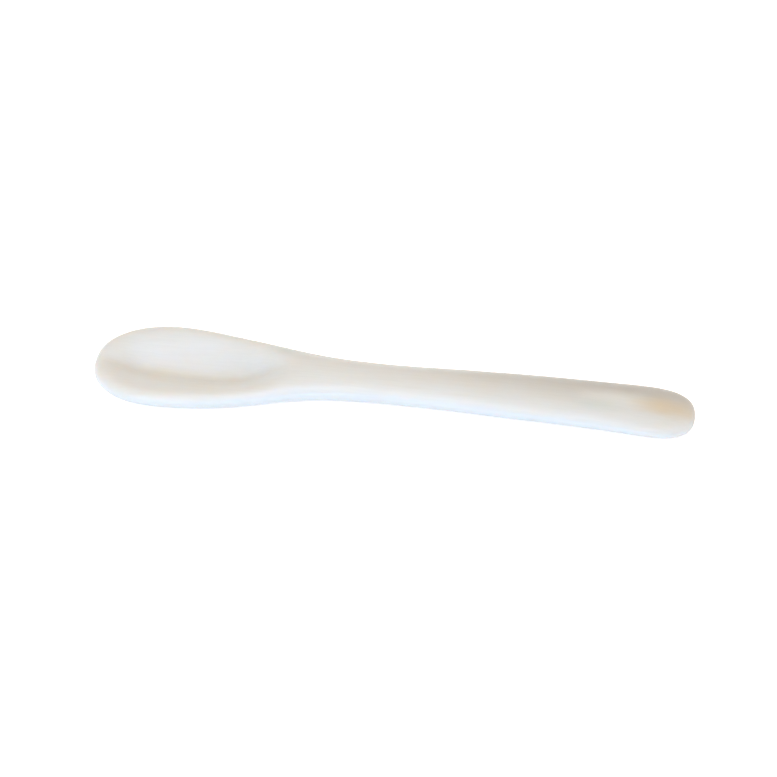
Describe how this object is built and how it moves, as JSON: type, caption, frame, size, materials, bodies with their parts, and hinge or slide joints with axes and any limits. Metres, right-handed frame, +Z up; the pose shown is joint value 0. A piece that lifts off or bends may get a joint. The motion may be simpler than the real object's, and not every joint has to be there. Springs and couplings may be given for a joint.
{
  "type": "carved bone spoon",
  "caption": "Small one-piece spoon carved from polished bone, with a shallow egg-shaped bowl, a narrow neck and a handle that widens to a rounded end.",
  "frame": {"origin": "on the table under the middle of the spoon's box, as it rests on the underside of its bowl and of its handle end", "axes": "+X along the spoon from the bowl tip to the handle end, +Y across it, +Z up out of the bowl"},
  "size_m": [0.12, 0.0226, 0.0064],
  "materials": {
    "bone": "polished"
  },
  "bodies": {
    "root": {"spoon": "bone"}
  },
  "joints": []
}
